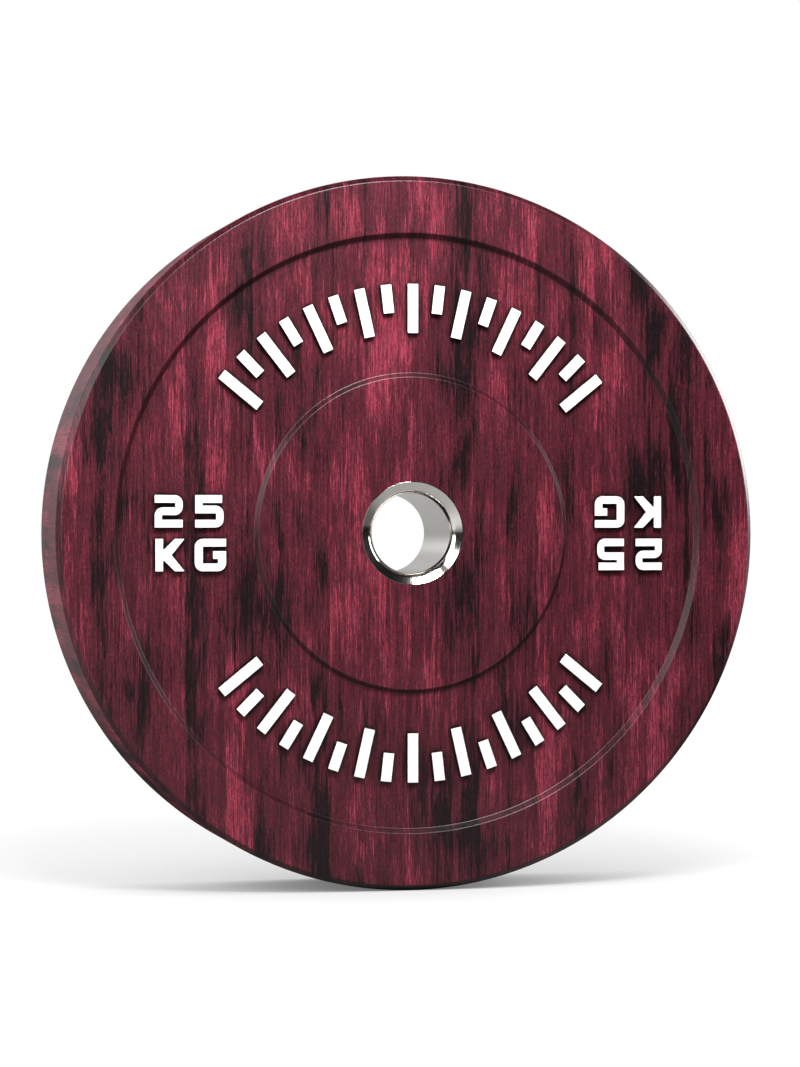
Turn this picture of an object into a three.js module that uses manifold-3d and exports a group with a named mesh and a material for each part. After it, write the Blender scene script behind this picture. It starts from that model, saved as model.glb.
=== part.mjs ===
// A bumper plate for a barbell: a thick disc of moulded rubber around a stainless sleeve. The sleeve
// slides on the bar, and a hooked steel plate welded round its middle anchors it in the rubber.
// Millimetres, +Z up. The bore lies along Y, the front face looks towards -Y and the plate stands on
// its rim. The origin is the centre of the bore. Both faces are alike.

import * as THREE from 'three';
import { mergeVertices } from 'three/addons/utils/BufferGeometryUtils.js';
import Module from 'manifold-3d';

const wasm = await Module();
wasm.setup();

// Rubber disc
const outerDiameter = 450;
const rimThickness = 84;
const edgeBevelWidth = 3.2;
const edgeBevelDepth = 3.8;
const edgeRound = 1.4;
const recessDiameter = 378;
const recessDepth = 4;
const recessSlopeWidth = 3;
const bossDiameter = 202;
const bossHeight = 3;
const bossSlopeWidth = 2.6;
const formRound = 1.2;

// Stainless sleeve, flush with the boss at both ends
const boreDiameter = 50.4;
const sleeveWall = 7.4;
const mouthLip = 0.4;
const mouthDepth = 3.5;
const throatRound = 6;

// Anchor plate, a pressed steel disc with holes that the rubber flows through and hooks at its rim
const anchorDiameter = 140;
const anchorThickness = 6;
const anchorHoleCount = 8;
const anchorHoleDiameter = 18;
const hookCount = 8;
const hookWidth = 24;
const hookReach = 8;
const hookBend = 5;
const hookRise = 17;

// Fillet weld on each side of the anchor plate
const weldLeg = 5;
const weldCrown = 0.6;

// Fits and cutting
const contactGap = 0.3;
const cutOverrun = 2;

// Facets
const discSegments = 96;
const sleeveSegments = 72;
const holeSegments = 20;
const bendSteps = 4;
const roundSteps = 2;

// Sizes that follow
const outerRadius = outerDiameter / 2;
const rimPlane = rimThickness / 2;
const recessPlane = rimPlane - recessDepth;
const bossPlane = recessPlane + bossHeight;
const boreRadius = boreDiameter / 2;
const sleeveRadius = boreRadius + sleeveWall;
const seatRadius = sleeveRadius + contactGap;
const anchorRadius = anchorDiameter / 2;
const anchorPlane = anchorThickness / 2;
const holeCircleRadius = (seatRadius + weldLeg + anchorRadius) / 2;

const rubber = new THREE.MeshStandardMaterial({ color: 0x7a3347, roughness: 0.55, metalness: 0 });
const stainless = new THREE.MeshStandardMaterial({ color: 0xc8c8c4, roughness: 0.16, metalness: 1 });
const pressedSteel = new THREE.MeshStandardMaterial({ color: 0x6f7275, roughness: 0.5, metalness: 1 });
const weldSteel = new THREE.MeshStandardMaterial({ color: 0x585a5c, roughness: 0.6, metalness: 1 });

// A section corner in radius and in distance along the bore, with the round that breaks it
function corner(radius, along, round = 0) {
  return { point: new THREE.Vector2(radius, along), round };
}

// The closed section with each of its corners turned into an arc that touches both sides
function roundedSection(corners) {
  const points = [];
  corners.forEach(({ point, round }, index) => {
    const before = corners.at(index - 1).point.clone().sub(point);
    const after = corners[(index + 1) % corners.length].point.clone().sub(point);
    const halfAngle = Math.acos(before.dot(after) / (before.length() * after.length())) / 2;
    const room = Math.min(before.length(), after.length()) / 2;
    const radius = Math.min(round, room * Math.tan(halfAngle));
    if (radius === 0) {
      points.push(point);
      return;
    }
    const toBefore = before.clone().normalize();
    const toAfter = after.clone().normalize();
    const inward = toBefore.clone().add(toAfter).normalize();
    const centre = point.clone().addScaledVector(inward, radius / Math.sin(halfAngle));
    const touch = radius / Math.tan(halfAngle);
    const start = point.clone().addScaledVector(toBefore, touch).sub(centre);
    const end = point.clone().addScaledVector(toAfter, touch).sub(centre);
    const turn = Math.sign(start.cross(end)) * (Math.PI - 2 * halfAngle);
    for (let step = 0; step <= roundSteps; step += 1) {
      const angle = (turn * step) / roundSteps;
      points.push(start.clone().rotateAround(new THREE.Vector2(), angle).add(centre));
    }
  });
  return points;
}

// Both ends alike: the section of the rear half, then its mirror image in the plane of the middle
function mirrored(rearCorners) {
  const front = rearCorners.map(({ point, round }) => corner(point.x, -point.y, round));
  return [...rearCorners, ...front.reverse()];
}

// Spins a closed section round the bore. The facets touch the true circle from outside, with one flat
// at the bottom for the plate to stand on.
function revolve(section, segments) {
  const halfFacet = Math.PI / segments;
  const facetReach = 1 / Math.cos(halfFacet);
  const points = section.map((point) => new THREE.Vector2(point.x * facetReach, point.y));
  points.push(points[0].clone());
  return welded(new THREE.LatheGeometry(points, segments, halfFacet));
}

// One closed mesh: the points that faces share are merged
function welded(geometry) {
  geometry.deleteAttribute('normal');
  geometry.deleteAttribute('uv');
  return mergeVertices(geometry);
}

function solidOf(geometry) {
  const vertProperties = new Float32Array(geometry.attributes.position.array);
  const triVerts = new Uint32Array(geometry.index.array);
  return new wasm.Manifold(new wasm.Mesh({ numProp: 3, vertProperties, triVerts }));
}

function geometryOf(solid) {
  const { vertProperties, triVerts } = solid.getMesh();
  const geometry = new THREE.BufferGeometry();
  geometry.setAttribute('position', new THREE.BufferAttribute(vertProperties, 3));
  geometry.setIndex(new THREE.BufferAttribute(triVerts, 1));
  return geometry;
}

function piece(name, geometry, material) {
  geometry.computeVertexNormals();
  const mesh = new THREE.Mesh(geometry, material);
  mesh.name = name;
  return mesh;
}

// Round bars along the bore's direction where the anchor plate has its holes: spaced evenly on the
// circle midway between the weld's toe and the plate's rim
function barsThroughHoles(diameter, length) {
  const bars = [];
  for (let index = 0; index < anchorHoleCount; index += 1) {
    const turn = ((index + 0.5) * 2 * Math.PI) / anchorHoleCount;
    const bar = new THREE.CylinderGeometry(diameter / 2, diameter / 2, length, holeSegments);
    bar.translate(holeCircleRadius, 0, 0);
    bar.rotateY(turn);
    bars.push(solidOf(welded(bar)));
  }
  return bars;
}

// The hooks of the anchor plate, bent to the rear and to the front in turn. With a clearance they are
// the room that the rubber leaves round them.
function hooks(clearance) {
  const half = anchorPlane + clearance;
  const inner = hookBend - clearance;
  const outer = hookBend + anchorThickness + clearance;
  const root = anchorRadius - hookReach;
  const bendStart = anchorRadius + hookReach;
  const bendCentre = anchorPlane + hookBend;
  const tip = anchorPlane + hookRise + clearance;
  const section = new THREE.Shape();
  section.moveTo(root, -half);
  section.lineTo(bendStart, -half);
  section.absarc(bendStart, bendCentre, outer, -Math.PI / 2, 0, false);
  section.lineTo(bendStart + outer, tip);
  section.lineTo(bendStart + inner, tip);
  section.lineTo(bendStart + inner, bendCentre);
  section.absarc(bendStart, bendCentre, inner, 0, -Math.PI / 2, true);
  section.lineTo(root, half);
  section.closePath();
  const width = hookWidth + 2 * clearance;
  const solids = [];
  for (let index = 0; index < hookCount; index += 1) {
    const hook = new THREE.ExtrudeGeometry(section, {
      depth: width,
      bevelEnabled: false,
      curveSegments: bendSteps,
    });
    hook.translate(0, 0, -width / 2);
    hook.rotateX(index % 2 === 0 ? 0 : Math.PI);
    hook.rotateY((index * 2 * Math.PI) / hookCount);
    solids.push(solidOf(welded(hook)));
  }
  return solids;
}

// The rubber disc: bevelled rim, recessed field and raised boss on both faces, and inside it the seat
// of the sleeve, the room of the welds and the slot of the anchor plate
function rubberDisc() {
  const slotPlane = anchorPlane + contactGap;
  const slotRadius = anchorRadius + contactGap;
  const weldRoom = (weldCrown + contactGap) * Math.SQRT2;
  const recessRadius = recessDiameter / 2;
  const bossRadius = bossDiameter / 2;
  const section = roundedSection(mirrored([
    corner(outerRadius, rimPlane - edgeBevelDepth, edgeRound),
    corner(outerRadius - edgeBevelWidth, rimPlane, edgeRound),
    corner(recessRadius, rimPlane, formRound),
    corner(recessRadius - recessSlopeWidth, recessPlane, formRound),
    corner(bossRadius, recessPlane, formRound),
    corner(bossRadius - bossSlopeWidth, bossPlane, formRound),
    corner(seatRadius, bossPlane),
    corner(seatRadius, slotPlane + weldLeg + weldRoom),
    corner(seatRadius + weldLeg + weldRoom, slotPlane),
    corner(slotRadius, slotPlane),
  ]));
  let disc = solidOf(revolve(section, discSegments));
  for (const room of hooks(contactGap)) {
    disc = disc.subtract(room);
  }
  const pillarDiameter = anchorHoleDiameter - 2 * contactGap;
  for (const pillar of barsThroughHoles(pillarDiameter, 2 * (slotPlane + cutOverrun))) {
    disc = disc.add(pillar);
  }
  return piece('rubber_disc', geometryOf(disc), rubber);
}

// The sleeve: a turned tube whose ends open in a funnel that guides the bar in
function barSleeve() {
  const section = roundedSection(mirrored([
    corner(sleeveRadius, bossPlane),
    corner(sleeveRadius - mouthLip, bossPlane),
    corner(boreRadius, bossPlane - mouthDepth, throatRound),
  ]));
  return piece('bar_sleeve', revolve(section, sleeveSegments), stainless);
}

// The anchor plate, fitted over the sleeve at its middle
function anchorPlate() {
  const section = mirrored([
    corner(anchorRadius, anchorPlane),
    corner(sleeveRadius + contactGap, anchorPlane),
  ]).map(({ point }) => point);
  let plate = solidOf(revolve(section, sleeveSegments));
  for (const hook of hooks(0)) {
    plate = plate.add(hook);
  }
  const cutLength = anchorThickness + 2 * cutOverrun;
  for (const hole of barsThroughHoles(anchorHoleDiameter, cutLength)) {
    plate = plate.subtract(hole);
  }
  return piece('anchor_plate', geometryOf(plate), pressedSteel);
}

// One fillet weld in the corner between the sleeve and the anchor plate, on the side given by its sign
function filletWeld(name, side) {
  const foot = anchorPlane + contactGap;
  const heel = sleeveRadius + contactGap;
  const crest = weldLeg / 2 + weldCrown / Math.SQRT2;
  const section = [
    new THREE.Vector2(heel, foot),
    new THREE.Vector2(heel + weldLeg, foot),
    new THREE.Vector2(heel + crest, foot + crest),
    new THREE.Vector2(heel, foot + weldLeg),
  ];
  if (side < 0) {
    section.forEach((point) => point.setY(-point.y));
    section.reverse();
  }
  return piece(name, revolve(section, sleeveSegments), weldSteel);
}

const group = new THREE.Group();
group.add(rubberDisc());
group.add(barSleeve());
group.add(anchorPlate());
group.add(filletWeld('weld_front', -1));
group.add(filletWeld('weld_rear', 1));

export default group;
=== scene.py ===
import math

import bmesh
import bpy
from mathutils import Euler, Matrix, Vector


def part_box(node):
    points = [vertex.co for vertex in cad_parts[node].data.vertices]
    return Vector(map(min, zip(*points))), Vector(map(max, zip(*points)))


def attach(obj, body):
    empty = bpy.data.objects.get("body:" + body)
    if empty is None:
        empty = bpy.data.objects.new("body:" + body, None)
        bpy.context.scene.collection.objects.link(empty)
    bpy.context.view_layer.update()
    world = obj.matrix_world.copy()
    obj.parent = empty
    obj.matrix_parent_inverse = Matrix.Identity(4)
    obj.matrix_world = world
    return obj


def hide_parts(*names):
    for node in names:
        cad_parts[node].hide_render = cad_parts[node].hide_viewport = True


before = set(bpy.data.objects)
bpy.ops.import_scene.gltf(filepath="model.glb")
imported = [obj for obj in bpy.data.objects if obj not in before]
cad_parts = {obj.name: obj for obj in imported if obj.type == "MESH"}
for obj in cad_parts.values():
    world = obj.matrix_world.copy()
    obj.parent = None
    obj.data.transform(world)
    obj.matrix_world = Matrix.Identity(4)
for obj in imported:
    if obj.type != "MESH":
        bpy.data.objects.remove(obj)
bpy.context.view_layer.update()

# Rubber disc
# One block of dense rubber, pressed in a steel mould round the sleeve and its anchor plate. Both
# faces have a flat rim, a recessed field and a flat boss. The wine-red grain is in the rubber's skin.
disc_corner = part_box("rubber_disc")[1]
sleeve_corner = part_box("bar_sleeve")[1]
rim_radius, rim_plane = disc_corner.x, disc_corner.y
sleeve_radius, boss_plane = sleeve_corner.x, sleeve_corner.y
edge_bevel_width = 0.0032
edge_bevel_depth = 0.0038
edge_round = 0.0014
recess_radius = 0.189
recess_slope_width = 0.003
boss_radius = 0.101
boss_slope_width = 0.0026
boss_height = 0.003
form_round = 0.0012
recess_plane = boss_plane - boss_height
seat_gap = 0.0004
seat_lip = 0.002
hold_distance = 0.00015
weld_distance = 0.000001
spine_radius = 0.01
disc_facets = 384
disc_round_steps = 6
crease_angle = math.radians(20)
millimetre = 0.001
tread_margin = 0.0005
# The grain: its reaches and widths in millimetres, then the ranges of its noises and its tones
tread_side = 41.0
rear_side = 17.0
feather_reach = 90.0
wander_reach = 8.0
fibre_reach = 30.0
board_width = 13.0
board_pull = 0.55
spark_range = (0.70, 0.80)
pit_range = (0.72, 0.82)
stain_range = (0.47, 0.34)
worn_range = (0.50, 0.68)
tone_middle = 0.47
worn_lift = 0.31
stain_depth = 0.41
spark_lift = 0.3
pit_depth = 0.4
tread_lift = 0.1
grain_tones = [
    (0.02, (0.0045, 0.0022, 0.0028)),
    (0.20, (0.0170, 0.0042, 0.0062)),
    (0.36, (0.0400, 0.0067, 0.0112)),
    (0.50, (0.0665, 0.0098, 0.0170)),
    (0.64, (0.1030, 0.0140, 0.0248)),
    (0.80, (0.1740, 0.0222, 0.0395)),
    (1.00, (0.3050, 0.0380, 0.0680)),
]
black = (0.0, 0.0, 0.0)
# Painted shade: the slopes and crevices are painted darker than the flats
painted_slope_shade = 0.55
slope_facing = (0.96, 0.8)
tread_facing = (0.1, 0.5)
painted_crevice_shade = 0.12
crevice_reach = 0.005
crevice_rays = 8
crevice_range = (0.5, 0.94)
# The gloss, which the tread has less of
rubber_roughness = 0.34
tread_roughness = 0.14
rubber_gloss = 0.35
grain_relief = 0.00006
relief_share = 0.5


class Wire:
    """A value on its way through a node tree. Sums and products of wires add their Math nodes."""

    def __init__(self, graph, socket):
        self.graph = graph
        self.socket = socket

    def __add__(self, other):
        return self.graph.math("ADD", self, other)

    def __radd__(self, other):
        return self.graph.math("ADD", other, self)

    def __sub__(self, other):
        return self.graph.math("SUBTRACT", self, other)

    def __rsub__(self, other):
        return self.graph.math("SUBTRACT", other, self)

    def __mul__(self, other):
        return self.graph.math("MULTIPLY", self, other)

    def __rmul__(self, other):
        return self.graph.math("MULTIPLY", other, self)

    def __truediv__(self, other):
        return self.graph.math("DIVIDE", self, other)

    def __pow__(self, other):
        return self.graph.math("POWER", self, other)

    def __mod__(self, other):
        return self.graph.math("MODULO", self, other)

    def __gt__(self, other):
        return self.graph.math("GREATER_THAN", self, other)


class Graph:
    """A node tree that is written as expressions on wires."""

    def __init__(self, tree):
        self.tree = tree
        self.tree.nodes.clear()

    def node(self, kind, settings=None, sockets=None, output=0):
        """Adds a node: its settings first, then the values or links of its sockets."""
        made = self.tree.nodes.new(kind)
        for name, value in (settings or {}).items():
            if name == "stops":
                self.set_stops(made.color_ramp, value)
            else:
                setattr(made, name, value)
        for name, value in (sockets or {}).items():
            for part in value if isinstance(value, list) else [value]:
                if isinstance(part, Wire):
                    self.tree.links.new(part.socket, made.inputs[name])
                else:
                    made.inputs[name].default_value = part
        return Wire(self, made.outputs[output]) if made.outputs else None

    def set_stops(self, ramp, stops):
        while len(ramp.elements) < len(stops):
            ramp.elements.new(1.0)
        for element, (position, colour) in zip(ramp.elements, stops):
            element.position = position
            element.color = (*colour, 1.0)

    def math(self, operation, *values):
        return self.node("ShaderNodeMath", {"operation": operation}, dict(enumerate(values)))

    def also(self, wire, output):
        """Another output of the node that a wire comes from."""
        return Wire(self, wire.socket.node.outputs[output])

    def vector(self, x=0.0, y=0.0, z=0.0):
        return self.node("ShaderNodeCombineXYZ", None, {"X": x, "Y": y, "Z": z})

    def parts(self, vector):
        split = self.node("ShaderNodeSeparateXYZ", None, {"Vector": vector})
        return [self.also(split, axis) for axis in "XYZ"]

    def ease(self, value, low, high):
        """Goes smoothly from 0 to 1 while the value goes from low to high."""
        sockets = {"Value": value, "From Min": low, "From Max": high}
        return self.node("ShaderNodeMapRange", {"interpolation_type": "SMOOTHSTEP"}, sockets)


class Finish(Graph):
    """A material that is fed by expressions on the place of a point on the piece."""

    def __init__(self, name):
        self.material = bpy.data.materials.new(name)
        self.material.use_nodes = True
        super().__init__(self.material.node_tree)

    def place(self):
        return self.parts(self.node("ShaderNodeTexCoord", output="Object"))

    def noise(self, point, detail=2.0, roughness=0.5, seed=0.0):
        sockets = {"Vector": point, "W": seed, "Scale": 1.0, "Detail": detail, "Roughness": roughness}
        return self.node("ShaderNodeTexNoise", {"noise_dimensions": "4D"}, sockets)

    def cloud(self, scale, detail=2.0, seed=0.0):
        """Noise that is the same in all directions, with so many waves to the metre."""
        x, y, z = self.place()
        return self.noise(self.vector(x * scale, y * scale, z * scale), detail, 0.5, seed)

    def tint(self, share, first, second):
        """The first colour, with that share of the second mixed in."""
        ends = [end if isinstance(end, Wire) else (*end, 1.0) for end in (first, second)]
        sockets = {"Factor": share, 6: ends[0], 7: ends[1]}
        return self.node("ShaderNodeMix", {"data_type": "RGBA"}, sockets, 2)

    def bump(self, height, distance, strength=1.0):
        sockets = {"Height": height, "Distance": distance, "Strength": strength}
        return self.node("ShaderNodeBump", None, sockets)

    def surface(self, sockets):
        shader = self.node("ShaderNodeBsdfPrincipled", None, sockets)
        self.node("ShaderNodeOutputMaterial", None, {"Surface": shader})
        return self.material


class Shape(Graph):
    """A tree of geometry nodes that turns a drawing into a finished form."""

    def __init__(self, name):
        super().__init__(bpy.data.node_groups.new(name, "GeometryNodeTree"))
        for way in ("INPUT", "OUTPUT"):
            self.tree.interface.new_socket("Drawing", in_out=way, socket_type="NodeSocketGeometry")
        self.entry = self.tree.nodes.new("NodeGroupInput")

    def drawing(self):
        return Wire(self, self.entry.outputs["Drawing"])

    def size(self, name, kind="Float"):
        """A named input of the tree."""
        self.tree.interface.new_socket(name, in_out="INPUT", socket_type="NodeSocket" + kind)
        return Wire(self, self.entry.outputs[name])

    def act(self, kind, geometry, settings=None, sockets=None, output=0):
        """A geometry node whose first socket takes the geometry."""
        return self.node("GeometryNode" + kind, settings, {0: geometry, **(sockets or {})}, output)

    def moved(self, geometry, shift=(0, 0, 0), turn=(0, 0, 0)):
        turned = {"Translation": shift, "Rotation": Euler(turn)}
        return self.act("Transform", geometry, None, turned)

    def painted(self, geometry, material, **sockets):
        return self.act("SetMaterial", geometry, None, {"Material": material, **sockets})

    def rounded(self, curve, steps):
        """Rounds the corners of a curve, each by the radius that its drawing gives it."""
        radius = self.node("GeometryNodeInputNamedAttribute", None, {"Name": "round"})
        sockets = {"Radius": radius, "Count": steps, "Limit Radius": True}
        return self.act("FilletCurve", curve, {"mode": "POLY"}, sockets)

    def finish(self, geometry):
        self.node("NodeGroupOutput", None, {0: geometry})
        return self.tree


def rounded_section(corners):
    """Adds a point on each side of every round, close to it, which keeps the flats flat in the shading."""
    points = []
    for index, (across, along, radius) in enumerate(corners):
        here = Vector((across, along))
        before = (Vector(corners[index - 1][:2]) - here).normalized()
        after = (Vector(corners[(index + 1) % len(corners)][:2]) - here).normalized()
        reach = radius / math.tan(before.angle(after) / 2) + hold_distance
        if radius:
            points.append((*(here + before * reach), 0.0))
        points.append((across, along, radius))
        if radius:
            points.append((*(here + after * reach), 0.0))
    return points


def mirrored(rear_corners):
    """Both ends alike: the corners of the rear half, then their mirror image."""
    return rear_corners + [(across, -along, radius) for across, along, radius in reversed(rear_corners)]


def drawn(name, outlines):
    """Closed outlines as a mesh of edges. A corner is across, up and the radius of its round."""
    points, edges, rounds = [], [], []
    for corners in outlines:
        first = len(points)
        points += [(across, up, 0.0) for across, up, _ in corners]
        edges += [(first + i, first + (i + 1) % len(corners)) for i in range(len(corners))]
        rounds += [radius for _, _, radius in corners]
    sheet = bpy.data.meshes.new(name)
    sheet.from_pydata(points, edges, [])
    sheet.attributes.new("round", "FLOAT", "POINT").data.foreach_set("value", rounds)
    piece = bpy.data.objects.new(name, sheet)
    bpy.context.scene.collection.objects.link(piece)
    return piece


def plain(piece):
    """Keeps what the modifiers make of a piece as its own mesh."""
    evaluated = piece.evaluated_get(bpy.context.evaluated_depsgraph_get())
    piece.data = bpy.data.meshes.new_from_object(evaluated)
    piece.modifiers.clear()
    piece.data.set_sharp_from_angle(angle=crease_angle)
    return piece


def shaped(piece, tree, sizes):
    """Runs a tree of geometry nodes on the drawing of a piece."""
    modifier = piece.modifiers.new("shape", "NODES")
    modifier.node_group = tree
    for name, value in sizes.items():
        modifier[tree.interface.items_tree[name].identifier] = value
    return plain(piece)


def moulded_round(piece, nodes):
    """Takes the room of CAD nodes out of the piece, as rubber that was moulded round them."""
    steel = bmesh.new()
    for node in nodes:
        steel.from_mesh(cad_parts[node].data)
    bmesh.ops.remove_doubles(steel, verts=steel.verts, dist=weld_distance)
    core_mesh = bpy.data.meshes.new("core")
    steel.to_mesh(core_mesh)
    steel.free()
    core = bpy.data.objects.new("core", core_mesh)
    bpy.context.scene.collection.objects.link(core)
    room = piece.modifiers.new("room", "BOOLEAN")
    room.object = core
    room.solver = "MANIFOLD"
    plain(piece)
    bpy.data.objects.remove(core)
    return piece


def turning_tree():
    """Turns a section round the bore, as on a lathe. The drawing is in radius and along the bore."""
    shape = Shape("turning")
    spine = shape.size("Spine Radius")
    facets = shape.size("Facets", "Int")
    steps = shape.size("Round Steps", "Int")
    material = shape.size("Finish", "Material")
    section = shape.rounded(shape.act("MeshToCurve", shape.drawing()), steps)
    section = shape.moved(section, shape.vector(0 - spine))
    circle = shape.node("GeometryNodeCurvePrimitiveCircle", None, {"Resolution": facets, "Radius": spine})
    circle = shape.act("SetCurveNormal", circle, {"mode": "Z_UP"})
    body = shape.act("CurveToMesh", circle, None, {"Profile Curve": section})
    body = shape.moved(shape.act("SetShadeSmooth", body), turn=(math.pi / 2, 0, 0))
    return shape.finish(shape.painted(shape.act("RealizeInstances", body), material))


def grained_rubber():
    """Wood-like grain, upright on both faces and along the bore on the tread, with painted shade on the
    slopes and in the crevices.
    """
    finish = Finish("grained_rubber")
    x, y, z = finish.place()
    tread = (x * x + z * z) ** 0.5 > rim_radius - tread_margin
    face = 1 - tread
    arc = finish.math("ARCTAN2", x, z) * rim_radius
    across = (x * face + arc * tread) / millimetre
    along = (z * face + y * tread) / millimetre
    side = tread * tread_side + (y > 0) * face * rear_side

    def grain(width, length, shift=0.0, line=across, **more):
        """Noise in streaks of about that width and length, in millimetres."""
        return finish.noise(finish.vector(line / width, side, (along + shift) / length), **more)

    def swing(noise, amount):
        """Lets a noise add and take away in equal parts."""
        return (noise - 0.5) * amount

    feather = swing(grain(1.2, 200.0, detail=2.0, roughness=0.75, seed=1.0), feather_reach)
    wander = swing(grain(40.0, 40.0, detail=1.0, seed=2.0), wander_reach)
    spot = {"W": (across + wander) / board_width, "Scale": 1.0}
    middle = finish.node("ShaderNodeTexVoronoi", {"voronoi_dimensions": "1D"}, spot, "W")
    board = across * (1 - board_pull) + middle * board_width * board_pull
    broad = grain(70.0, 200.0, feather * 0.5, detail=1.0, seed=3.0)
    column = grain(16.0, 800.0, line=board, detail=2.0, seed=4.0)
    patch = grain(20.0, 75.0, feather, line=board, detail=4.0, roughness=0.7, seed=5.0)
    shred = grain(5.0, 26.0, feather * 0.3, detail=2.0, roughness=0.7, seed=6.0)
    stripe = grain(2.0, 90.0, feather * 0.2, detail=3.0, roughness=0.75, seed=7.0)
    thread = grain(0.72, 26.0, feather * 0.3, detail=1.0, roughness=0.7, seed=8.0)
    fibre = grain(0.8, 6.5, swing(stripe, fibre_reach), detail=2.0, roughness=0.8, seed=9.0)
    fleck = grain(0.75, 1.8, detail=0.0, seed=10.0)
    spark = finish.ease(grain(1.6, 10.0, detail=2.0, seed=11.0), *spark_range)
    pit = finish.ease(grain(1.1, 8.0, detail=1.0, seed=12.0), *pit_range)

    mass = patch + swing(shred, 0.22) + swing(broad, 0.4) + swing(column, 0.7)
    mass = mass + swing(stripe, 0.3) + swing(fibre, 0.12)
    stain = finish.ease(mass, *stain_range)
    worn = finish.ease(mass, *worn_range)
    tone = tone_middle + worn * worn_lift - stain * stain_depth + swing(shred, 0.12) + swing(stripe, 0.6)
    tone = tone + swing(thread, 0.6 + worn * 0.5 - stain * 0.2)
    tone = tone + swing(fibre, 0.7 + worn * 0.9) + swing(fleck, 0.4)
    tone = tone + spark * spark_lift - pit * pit_depth + tread * tread_lift
    colour = finish.node("ShaderNodeValToRGB", {"stops": grain_tones}, {"Fac": tone})

    normal = finish.parts(finish.node("ShaderNodeTexCoord", output="Normal"))
    facing = finish.math("ABSOLUTE", normal[1])
    # Painted shade: the sloping walls of the rim, recess and boss are darkened in colour
    slope = finish.ease(facing, *slope_facing) * finish.ease(facing, *tread_facing)
    # Painted shade: ambient occlusion darkens the colour in crevices, round the raised marks and where the
    # tread meets the floor
    near = {"Distance": crevice_reach}
    open_share = finish.node("ShaderNodeAmbientOcclusion", {"samples": crevice_rays}, near, "AO")
    painted_lit_share = painted_crevice_shade + (1 - painted_crevice_shade) * finish.ease(open_share, *crevice_range)
    painted_lit_share = painted_lit_share * (1 - slope * (1 - painted_slope_shade))
    relief = fibre * relief_share + fleck * relief_share - pit
    return finish.surface({
        "Base Color": finish.tint(painted_lit_share, black, colour),
        "Roughness": rubber_roughness + tread * tread_roughness + swing(fibre, 0.12) + swing(fleck, 0.08),
        "Specular IOR Level": rubber_gloss,
        "Normal": finish.bump(relief, grain_relief, relief_share),
    })


turning = turning_tree()
disc_section = mirrored([
    (rim_radius, rim_plane - edge_bevel_depth, edge_round),
    (rim_radius - edge_bevel_width, rim_plane, edge_round),
    (recess_radius, rim_plane, form_round),
    (recess_radius - recess_slope_width, recess_plane, form_round),
    (boss_radius, recess_plane, form_round),
    (boss_radius - boss_slope_width, boss_plane, form_round),
    (sleeve_radius, boss_plane, 0.0),
    (sleeve_radius, boss_plane - seat_lip, 0.0),
    (sleeve_radius + seat_gap, boss_plane - seat_lip - seat_gap, 0.0),
])
rubber_disc = shaped(drawn("rubber_disc_skin", [rounded_section(disc_section)]), turning, {
    "Spine Radius": spine_radius,
    "Facets": disc_facets,
    "Round Steps": disc_round_steps,
    "Finish": grained_rubber(),
})
moulded_round(rubber_disc, ["anchor_plate", "weld_front", "weld_rear"])
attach(rubber_disc, "root")
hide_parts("rubber_disc")

# Bar sleeve
# A stainless tube turned on a lathe, flush with the boss on both faces. Each end opens in a polished
# funnel that guides the bar in, and a soft round leads from the funnel into the bore.
bore_radius = 0.0252
mouth_lip = 0.0004
mouth_depth = 0.0035
throat_round = 0.006
lip_round = 0.00015
sleeve_round_steps = 16
lathe_rings = 6.0
ring_relief = 0.000002
steel_warm = (0.70, 0.67, 0.63)
steel_bright = (0.77, 0.745, 0.71)
steel_roughness = 0.075


def turned_stainless():
    """Polished steel with the faint rings that the lathe left."""
    finish = Finish("turned_stainless")
    x, y, z = finish.place()
    travel = ((x * x + z * z) ** 0.5 + y) / millimetre
    rings = finish.noise(finish.vector(travel * lathe_rings), seed=1.0)
    haze = finish.cloud(60.0, detail=3.0, seed=2.0)
    return finish.surface({
        "Base Color": finish.tint(haze, steel_warm, steel_bright),
        "Metallic": 1.0,
        "Roughness": steel_roughness + rings * 0.02 + haze * 0.04,
        "Normal": finish.bump(rings, ring_relief, 0.5),
    })


sleeve_section = mirrored([
    (sleeve_radius, boss_plane, lip_round),
    (sleeve_radius - mouth_lip, boss_plane, lip_round),
    (bore_radius, boss_plane - mouth_depth, throat_round),
])
bar_sleeve = shaped(drawn("bar_sleeve_polished", [rounded_section(sleeve_section)]), turning, {
    "Spine Radius": spine_radius,
    "Facets": disc_facets,
    "Round Steps": sleeve_round_steps,
    "Finish": turned_stainless(),
})
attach(bar_sleeve, "root")
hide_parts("bar_sleeve")

# Anchor plate
# A disc pressed from steel plate, with holes that the rubber flows through and hooks at its rim, bent
# to the front and to the rear in turn. It comes straight from the press, with a dull rolled skin.
scale_dark = (0.16, 0.16, 0.17)
scale_light = (0.30, 0.30, 0.31)
scale_range = (0.35, 0.7)
fine_lines = 1400.0
long_lines = 40.0
rolling_relief = 0.00002


def rolled_steel():
    """Dull grey steel with the cloudy skin that rolling and pressing leave."""
    finish = Finish("rolled_steel")
    x, y, z = finish.place()
    line = finish.noise(finish.vector(x * fine_lines, y * fine_lines, z * long_lines), seed=2.0)
    shade = finish.ease(finish.cloud(45.0, detail=4.0, seed=1.0), *scale_range)
    return finish.surface({
        "Base Color": finish.tint(shade, scale_dark, scale_light),
        "Metallic": 1.0,
        "Roughness": 0.42 + shade * 0.12 + (line - 0.5) * 0.1,
        "Normal": finish.bump(line, rolling_relief, 0.4),
    })


def refinished(node, material):
    """Gives a CAD node that stays in the model its finish."""
    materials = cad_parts[node].data.materials
    materials.clear()
    materials.append(material)


refinished("anchor_plate", rolled_steel())

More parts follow.
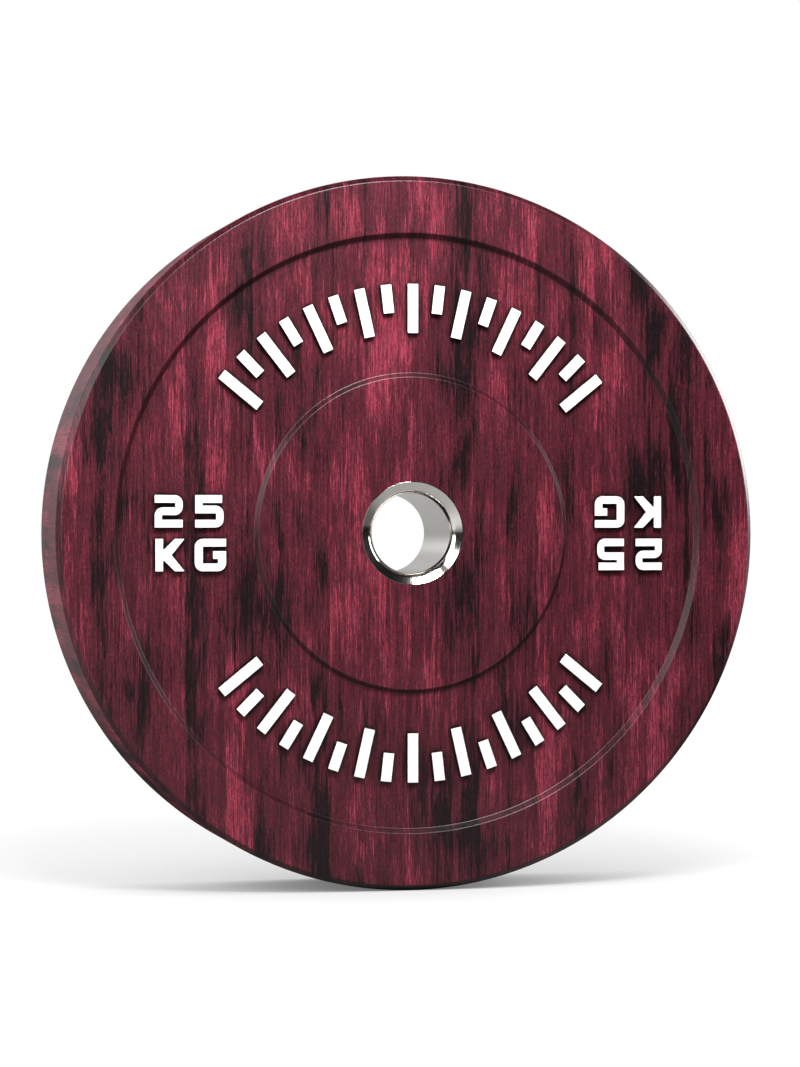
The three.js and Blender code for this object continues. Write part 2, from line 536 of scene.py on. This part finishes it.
# Welds
# A fillet weld on each side joins the anchor plate to the sleeve. The bead has the scales that the
# torch leaves as it goes round, and the blue and straw tints of its heat.
bead_scales = 16.0
bead_wobble = 0.8
bead_relief = 0.0004
heat_blue = (0.10, 0.11, 0.15)
heat_straw = (0.22, 0.18, 0.12)
heat_range = (0.3, 0.7)


def weld_bead():
    """Scaly weld metal, tinted by heat."""
    finish = Finish("weld_bead")
    x, y, z = finish.place()
    travel = finish.math("ARCTAN2", x, z) * bead_scales + finish.cloud(500.0, seed=1.0) * bead_wobble
    scale = finish.math("PINGPONG", travel, 1.0)
    heat = finish.ease(finish.cloud(90.0, detail=3.0, seed=2.0), *heat_range)
    return finish.surface({
        "Base Color": finish.tint(heat, heat_blue, heat_straw),
        "Metallic": 1.0,
        "Roughness": 0.34 + scale * 0.2,
        "Normal": finish.bump(scale, bead_relief, 0.8),
    })


bead = weld_bead()
refinished("weld_front", bead)
refinished("weld_rear", bead)

# Raised figures
# The weight figures are moulded with the disc and end a little below its rim. Their tops are coated
# white, and their sides are bare black rubber, kept nearly black and dull as painted shade along the
# edges. On each face a block reads upright and another upside down.
figure_height = 0.0202
figure_width = 0.0186
figure_stroke = 0.0049
figure_bend = 0.0027
figure_gap = 0.0079
row_gap = 0.0069
block_place = 0.1424
# Each figure's shift and spread in its box, in the order 2, 5, K, G
figure_shifts = (0.0010, -0.0002, 0.0015, -0.0005)
figure_spreads = (0.946, 0.962, 0.989, 1.065)
waist_rise = 0.23
five_flag = 0.95
gee_bar = 0.58
kay_notch = 0.36
kay_leg = 0.66
kay_fork = 0.55
# The moulding and the coating, which the bars share
mark_height = 0.003
mark_sink = 0.0003
mark_soft = 0.0004
mark_edge = 0.00012
mark_edge_angle = math.radians(50)
mark_edge_steps = 2
mark_round_steps = 6
coat_white = (0.87, 0.87, 0.86)
coat_shade = (0.82, 0.82, 0.805)
coat_relief = 0.00002
# Painted shade: the sides are kept nearly black and dull, so that they also darken the marks' edges
side_dark = (0.0025, 0.002, 0.002)
side_light = (0.007, 0.006, 0.006)
side_gloss = 0.04
side_relief = 0.00004


def stroke(path, width):
    """The outline of a line of constant width. A point of its path is across, up and its bend."""
    points = [Vector((across, up)) for across, up, _ in path]
    edges = {1: [], -1: []}
    for index, here in enumerate(points):
        into = (here - points[index - 1]) if index else (points[1] - here)
        out = (points[index + 1] - here) if index + 1 < len(points) else into
        into, out = into.normalized(), out.normalized()
        reach = (into.orthogonal() + out.orthogonal()) * (width / 2 / (1 + into.dot(out)))
        bend = path[index][2]
        for edge, outline in edges.items():
            swing = bend - edge * math.copysign(width / 2, into.cross(out))
            outline.append((*(here + reach * edge), max(swing, mark_soft) if bend else mark_soft))
    return edges[1] + edges[-1][::-1]


def figure_outlines():
    """The outlines of 2, 5, K and G, each in a box whose lower left corner is at zero."""
    tall, wide, pen, bend = figure_height, figure_width, figure_stroke, figure_bend
    left, right, low, high, middle = pen / 2, wide - pen / 2, pen / 2, tall - pen / 2, tall / 2
    waist = middle + pen * waist_rise
    two = stroke([
        (0, high, 0), (right, high, bend), (right, middle, bend),
        (left, middle, bend), (left, low, 0), (wide, low, 0),
    ], pen)
    five = stroke([
        (wide * five_flag, high, 0), (left, high, 0), (left, waist, 0),
        (right, waist, bend), (right, low, bend), (0, low, 0),
    ], pen)
    gee = stroke([
        (wide, high, 0), (left, high, bend), (left, low, bend),
        (right, low, bend), (right, middle, 0), (wide * gee_bar, middle, 0),
    ], pen)
    notch, leg, fork = tall * kay_notch, wide * kay_leg, wide * kay_fork
    kay = [
        (0, 0), (pen, 0), (pen, notch), (leg, 0), (wide, 0), (fork, middle),
        (wide, tall), (leg, tall), (pen, tall - notch), (pen, tall), (0, tall),
    ]
    return two, five, [(across, up, mark_soft) for across, up in kay], gee


def figure_block():
    """The figures over the unit, round the middle of the block."""
    columns = (-figure_width - figure_gap / 2, figure_gap / 2)
    rows = (row_gap / 2, -row_gap / 2 - figure_height)
    places = [(column, row) for row in rows for column in columns]
    block = []
    for outline, place, shift, spread in zip(figure_outlines(), places, figure_shifts, figure_spreads):
        left, foot = place[0] + shift, place[1]
        block.append([(across * spread + left, up + foot, radius) for across, up, radius in outline])
    return block


def raised(shape):
    """Fills the outlines of a drawing and raises them into closed solids that are coated on top."""
    steps = shape.size("Round Steps", "Int")
    rise = shape.size("Rise")
    top = shape.size("Top Finish", "Material")
    side = shape.size("Side Finish", "Material")
    outlines = shape.rounded(shape.act("MeshToCurve", shape.drawing()), steps)
    base = shape.act("FillCurve", outlines, {"mode": "NGONS"})
    solid = shape.act("ExtrudeMesh", base, {"mode": "FACES"}, {"Offset Scale": rise, "Individual": False})
    coated = shape.painted(shape.painted(solid, side), top, Selection=shape.also(solid, "Top"))
    closed = [coated, shape.painted(shape.act("FlipFaces", base), side)]
    whole = shape.node("GeometryNodeJoinGeometry", None, {0: closed})
    return shape.act("MergeByDistance", whole, None, {"Distance": weld_distance})


def on_both_faces(shape, solid):
    """Stands a solid on the front field, and adds its turned copies there and on the rear field."""
    aside = shape.size("Aside")
    foot = shape.size("Foot")
    upright = shape.moved(solid, turn=(math.pi / 2, 0, 0))
    first = shape.moved(upright, shape.vector(aside, 0 - foot))
    second = shape.moved(first, turn=(0, math.pi, 0))
    front = shape.node("GeometryNodeJoinGeometry", None, {0: [first, second]})
    rear = shape.moved(front, turn=(0, 0, math.pi))
    both = shape.node("GeometryNodeJoinGeometry", None, {0: [front, rear]})
    return shape.finish(shape.act("RealizeInstances", both))


def figures_tree():
    shape = Shape("raised_figures")
    return on_both_faces(shape, raised(shape))


def white_coating():
    """Matt white paint with a faint roller texture."""
    finish = Finish("white_coating")
    roll = finish.cloud(1600.0, seed=1.0)
    cover = finish.cloud(70.0, detail=3.0, seed=2.0)
    return finish.surface({
        "Base Color": finish.tint(cover, coat_white, coat_shade),
        "Roughness": 0.5 + (roll - 0.5) * 0.2,
        "Normal": finish.bump(roll, coat_relief, 0.4),
    })


def bare_rubber():
    """The black compound on the sides of the raised marks, kept nearly black and dull as painted shade
    along their edges.
    """
    finish = Finish("bare_rubber")
    grit = finish.cloud(900.0, detail=3.0, seed=1.0)
    return finish.surface({
        "Base Color": finish.tint(grit, side_dark, side_light),
        "Roughness": 0.6 + (grit - 0.5) * 0.2,
        "Specular IOR Level": side_gloss,
        "Normal": finish.bump(grit, side_relief, 0.5),
    })


def softened(piece):
    """Breaks the edges of a piece with a small bevel."""
    edge = piece.modifiers.new("edge", "BEVEL")
    edge.width = mark_edge
    edge.segments = mark_edge_steps
    edge.limit_method = "ANGLE"
    edge.angle_limit = mark_edge_angle
    edge.use_clamp_overlap = False
    return plain(piece)


mark_sizes = {
    "Round Steps": mark_round_steps,
    "Rise": mark_height + mark_sink,
    "Top Finish": white_coating(),
    "Side Finish": bare_rubber(),
    "Foot": recess_plane - mark_sink,
}
figures = shaped(drawn("raised_figures", figure_block()), figures_tree(), {
    **mark_sizes,
    "Aside": -block_place,
})
softened(figures)
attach(figures, "root")

# Raised bars
# Two fans of plain bars, long and short in turn, stand above and below the boss on both faces. They
# are moulded and coated in the same way as the figures.
bar_count = 17
bar_width = 0.0068
long_bar = 0.031
short_bar = 0.018
fan_radius = 0.157
fan_spread = math.radians(102)


def fan_tree():
    """Sets the drawn bar out on an arc, with its outer end on the arc. Every second bar is short."""
    shape = Shape("raised_bars")
    count = shape.size("Bars", "Int")
    radius = shape.size("Fan Radius")
    spread = shape.size("Spread")
    short = shape.size("Short Share")
    index = shape.node("GeometryNodeInputIndex")
    turn = (index / (count - 1) - 0.5) * spread
    place = shape.vector(0 - radius * shape.math("SINE", turn), radius * shape.math("COSINE", turn))
    spots = shape.node("GeometryNodePoints", None, {"Count": count, "Position": place})
    fan = shape.act("InstanceOnPoints", spots, None, {
        "Instance": raised(shape),
        "Rotation": shape.vector(z=turn),
        "Scale": shape.vector(1.0, 1 - (index % 2.0) * (1 - short), 1.0),
    })
    return on_both_faces(shape, shape.act("RealizeInstances", fan))


half_bar = bar_width / 2
bar_outline = [
    (-half_bar, -long_bar, mark_soft),
    (half_bar, -long_bar, mark_soft),
    (half_bar, 0.0, mark_soft),
    (-half_bar, 0.0, mark_soft),
]
bars = shaped(drawn("raised_bars", [bar_outline]), fan_tree(), {
    **mark_sizes,
    "Bars": bar_count,
    "Fan Radius": fan_radius,
    "Spread": fan_spread,
    "Short Share": short_bar / long_bar,
})
softened(bars)
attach(bars, "root")

# Studio
# A white floor runs up into a white wall behind the plate. A softbox hangs high in front, and a wide
# one stands on each side, the right one a little behind the plate. The rest of the room is dark.
frame_height_pixels = 1067
sensor_width = 36.0
focal_pixels = 3105.6
camera_place = Vector((-0.4492, -1.9433, -0.0002))
camera_yaw = math.radians(13.046)
floor_size = 12.0
contact_reach = 0.8
contact_rays = 16
contact_glow = 0.15
open_glow = 0.67
far_floor = (0.5, 1.6)
# The greys of the floor, painted darker behind the plate and towards the right as shade, and where it
# glows as painted light beside the plate and behind it
seen_floor_grey = (0.22, 0.22, 0.22)
front_floor_grey = (0.23, 0.23, 0.23)
rear_floor_painted_shadow = (0.03, 0.03, 0.03)
front_floor_ahead = (0.1, -0.05)
right_floor_across = (0.2, 0.7)
right_floor_painted_shade = 0.7
left_floor_glow = 0.35
left_floor_across = (-0.15, -0.55)
left_floor_ahead = (0.8, 0.2)
rear_floor_glow = 0.45
rear_floor_ahead = (0.4, 1.0)
# The room and its wall as they show in reflections
room_glow = 0.01
wall_ahead = (0.35, 0.6)
wall_top = (0.5, 0.36)
wall_left = (-0.08, -0.26)
wall_climb = (0.0, 0.24)
wall_foot_glow = 0.3
wall_left_foot_glow = 0.15
wall_climb_glow = 0.25
wall_left_climb_glow = 0.48

lens = bpy.data.cameras.new("camera")
lens.sensor_width = sensor_width
lens.lens = focal_pixels * sensor_width / frame_height_pixels
camera = bpy.data.objects.new("camera", lens)
camera.location = camera_place
camera.rotation_euler = (math.pi / 2, 0, -camera_yaw)
bpy.context.scene.collection.objects.link(camera)
bpy.context.scene.camera = camera
bpy.context.scene.view_settings.view_transform = "Standard"

half_floor = floor_size / 2
floor_corners = [
    (-half_floor, -half_floor, -rim_radius),
    (half_floor, -half_floor, -rim_radius),
    (half_floor, half_floor, -rim_radius),
    (-half_floor, half_floor, -rim_radius),
]
floor_mesh = bpy.data.meshes.new("floor")
floor_mesh.from_pydata(floor_corners, [], [(0, 1, 2, 3)])
floor = bpy.data.objects.new("floor", floor_mesh)
bpy.context.scene.collection.objects.link(floor)


def white_floor():
    """A bright white glowing sweep to the camera, with painted contact shadows in its glow. It is greyer
    in reflections.
    """
    finish = Finish("white_floor")
    x, y, z = finish.place()
    seen = finish.node("ShaderNodeLightPath", output="Is Camera Ray")
    far = finish.ease((x * x + y * y) ** 0.5, *far_floor)
    # Painted shadow: the glow that the camera sees is darkened by occlusion near the plate
    near = {"Distance": contact_reach}
    open_share = finish.node("ShaderNodeAmbientOcclusion", {"samples": contact_rays}, near, "AO")
    sweep = contact_glow + open_glow * open_share
    sweep = sweep + (1 - sweep) * far
    aside = left_floor_glow * finish.ease(x, *left_floor_across) * finish.ease(y, *left_floor_ahead)
    aside = aside + finish.ease(y, *rear_floor_ahead) * rear_floor_glow
    glow = finish.node("ShaderNodeEmission", None, {"Strength": seen * sweep + (1 - seen) * aside})
    # Painted shade: in reflections the floor is darker behind the plate and towards the right
    front = finish.ease(y, *front_floor_ahead)
    front = front * (1 - right_floor_painted_shade * finish.ease(x, *right_floor_across))
    shade = finish.tint(front, rear_floor_painted_shadow, front_floor_grey)
    shade = finish.tint(seen, shade, seen_floor_grey)
    matt = finish.node("ShaderNodeBsdfDiffuse", None, {"Color": shade})
    both = finish.node("ShaderNodeAddShader", None, {0: glow, 1: matt})
    finish.node("ShaderNodeOutputMaterial", None, {"Surface": both})
    return finish.material


floor.data.materials.append(white_floor())

world = bpy.data.worlds.new("surround")
world.use_nodes = True
bpy.context.scene.world = world
air = Graph(world.node_tree)
seen = air.node("ShaderNodeLightPath", output="Is Camera Ray")
aside, ahead, up = air.parts(air.node("ShaderNodeTexCoord", output="Generated"))
wall = air.ease(ahead, *wall_ahead) * air.ease(up, *wall_top)
left_share = air.ease(aside, *wall_left)
foot_glow = wall_foot_glow + wall_left_foot_glow * left_share
climb_glow = wall_climb_glow + wall_left_climb_glow * left_share
wall = wall * (foot_glow + climb_glow * air.ease(up, *wall_climb))
strength = seen + (1 - seen) * (room_glow + wall)
backdrop = air.node("ShaderNodeBackground", None, {"Color": (1.0, 1.0, 1.0, 1.0), "Strength": strength})
air.node("ShaderNodeOutputWorld", None, {"Surface": backdrop})


def softbox(name, place, aim, width, height, power):
    """A rectangle of even light that faces a point."""
    light = bpy.data.lights.new(name, "AREA")
    light.shape = "RECTANGLE"
    light.size = width
    light.size_y = height
    light.energy = power
    lamp = bpy.data.objects.new(name, light)
    lamp.location = place
    lamp.rotation_euler = (Vector(aim) - Vector(place)).to_track_quat("-Z", "Y").to_euler()
    bpy.context.scene.collection.objects.link(lamp)


plate_middle = (0, 0, 0)
beside_left = (-1.257, -0.641, -0.535)
softbox("key", (-0.035, -0.674, 0.804), plate_middle, width=0.5, height=0.31, power=18.5)
softbox("left", (-1.52, -0.764, 0.4225), beside_left, width=1.52, height=1.88, power=39)
softbox("right", (1.92, 0.34, 0.63), plate_middle, width=2.18, height=0.95, power=60)
